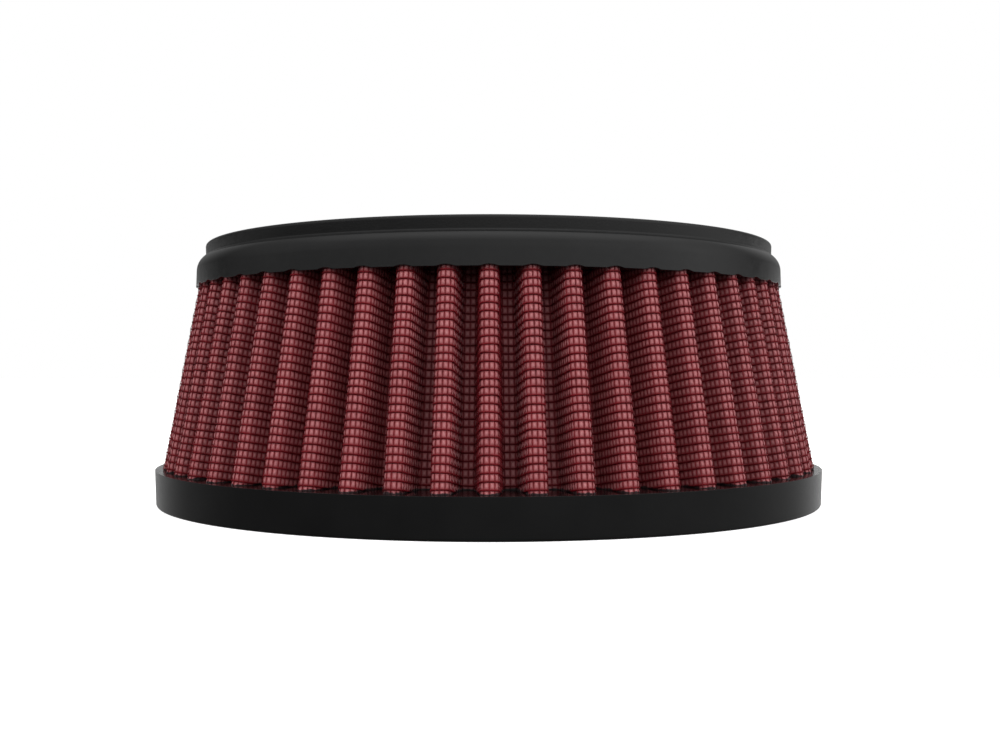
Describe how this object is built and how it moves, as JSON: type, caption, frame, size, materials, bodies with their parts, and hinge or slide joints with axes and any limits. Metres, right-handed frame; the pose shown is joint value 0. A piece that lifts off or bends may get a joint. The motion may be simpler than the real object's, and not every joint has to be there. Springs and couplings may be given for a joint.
{
  "type": "air filter element",
  "caption": "Round tapered air filter element: pleated red gauze between woven wire screens, moulded into a wide base flange and a narrower top ring.",
  "frame": {"origin": "centre of the base ring's lower sealing face", "axes": "+Z along the element's axis from the wide base ring to the narrow top ring, +Y towards the seam of the pleated pack"},
  "size_m": [0.1524, 0.1524, 0.058],
  "materials": {
    "ring_rubber": "satin moulded polyurethane",
    "screen_wire": "woven wire with a dark red oil film",
    "oiled_gauze": "red oiled cotton gauze",
    "clip_metal": "plain rolled strip"
  },
  "bodies": {
    "root": {"base_ring": "ring_rubber", "top_ring": "ring_rubber", "outer_screen": "screen_wire", "gauze_ply_1": "oiled_gauze", "gauze_ply_2": "oiled_gauze", "gauze_ply_3": "oiled_gauze", "gauze_ply_4": "oiled_gauze", "inner_screen": "screen_wire", "seam_clip": "clip_metal"}
  },
  "joints": []
}
